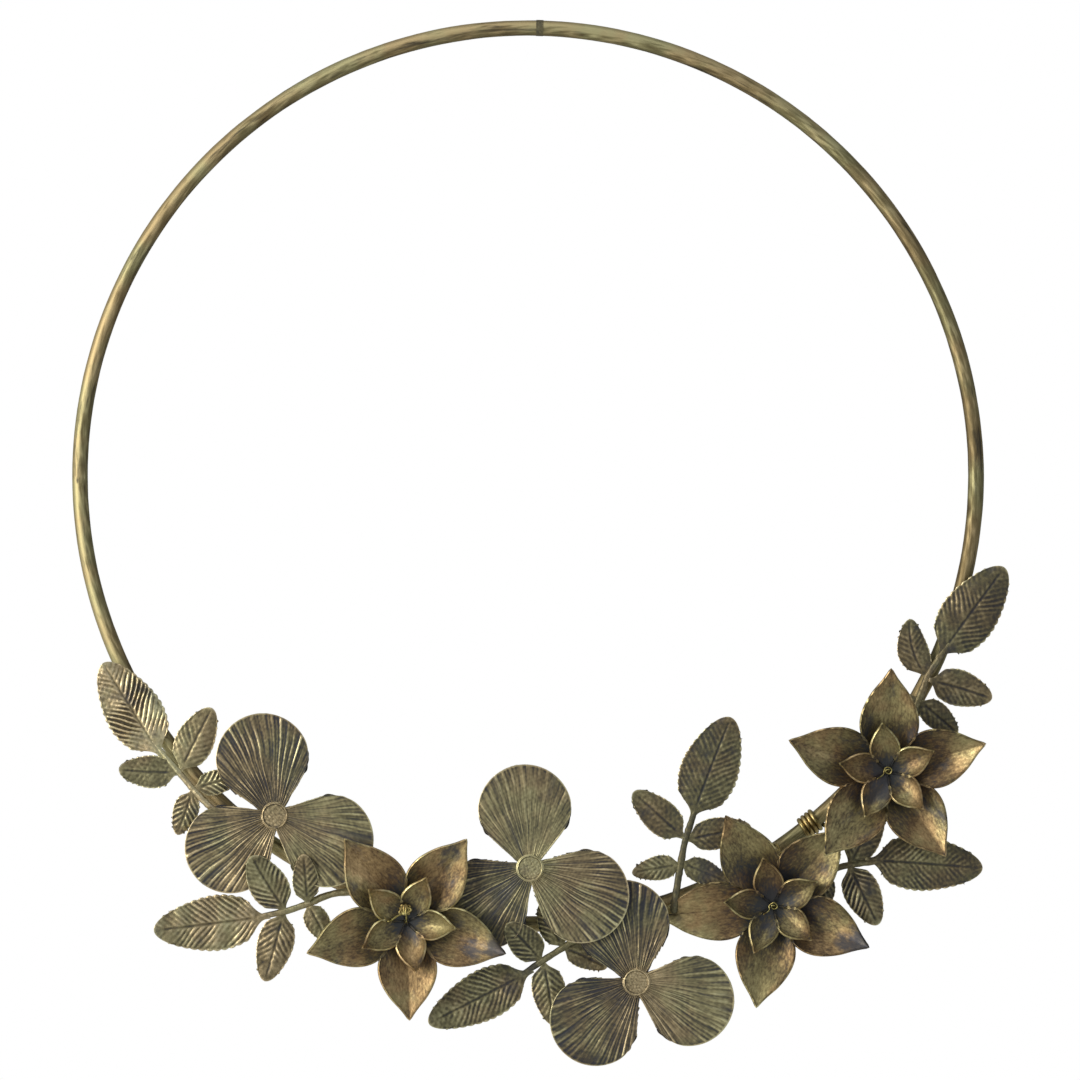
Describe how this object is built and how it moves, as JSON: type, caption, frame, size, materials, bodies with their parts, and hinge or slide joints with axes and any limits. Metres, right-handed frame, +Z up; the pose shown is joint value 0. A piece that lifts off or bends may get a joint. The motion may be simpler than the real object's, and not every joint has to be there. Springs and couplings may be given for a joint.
{
  "type": "wreath frame",
  "caption": "Round metal hoop with cast leaf sprays, fan-petalled and layered metal flowers fixed along its lower arc, and a bare upper arc for tying greenery on.",
  "frame": {"origin": "the hanging point: the inner surface of the hoop's tube at the top of the hoop, where a nail or hook carries it", "axes": "+Z up, +X to the viewer's right, -Y towards the viewer with the flowers in front, +Y towards the wall; the hoop lies in the XZ plane with its centre 222 mm below the origin"},
  "size_m": [0.4728, 0.037, 0.5277],
  "materials": {
    "hoop": "aged and rubbed",
    "rod": "darkened",
    "braze": "rough",
    "rivet": "aged and rubbed",
    "cast_petal": "antiqued casting",
    "sheet_petal": "antiqued sheet",
    "wire": "rubbed",
    "cast_leaf": "antiqued casting"
  },
  "bodies": {
    "root": {"hoop_tube": "hoop", "hoop_dowel": "rod", "hoop_weld": "braze", "trefoil_left": "cast_petal", "trefoil_middle": "cast_petal", "trefoil_right": "cast_petal", "trefoil_left_button": "rivet", "trefoil_middle_button": "rivet", "trefoil_right_button": "rivet", "trefoil_left_posts": "rod", "trefoil_middle_posts": "rod", "trefoil_right_posts": "rod", "flower_left_cup": "sheet_petal", "flower_middle_cup": "sheet_petal", "flower_right_cup": "sheet_petal", "flower_left_star": "sheet_petal", "flower_middle_star": "sheet_petal", "flower_right_star": "sheet_petal", "flower_left_tie": "wire", "flower_middle_tie": "wire", "flower_right_tie": "wire", "flower_left_post": "rod", "flower_middle_post": "rod", "flower_right_post": "rod", "spray_far_left": "cast_leaf", "spray_left": "cast_leaf", "spray_low": "cast_leaf", "spray_middle": "cast_leaf", "spray_right": "cast_leaf", "spray_far_right": "cast_leaf", "spray_far_left_braze": "braze", "spray_left_braze": "braze", "spray_low_braze": "braze", "spray_middle_braze": "braze", "spray_right_braze": "braze", "spray_far_right_braze": "braze", "binding_coil": "wire", "binding_tail": "wire"}
  },
  "joints": []
}
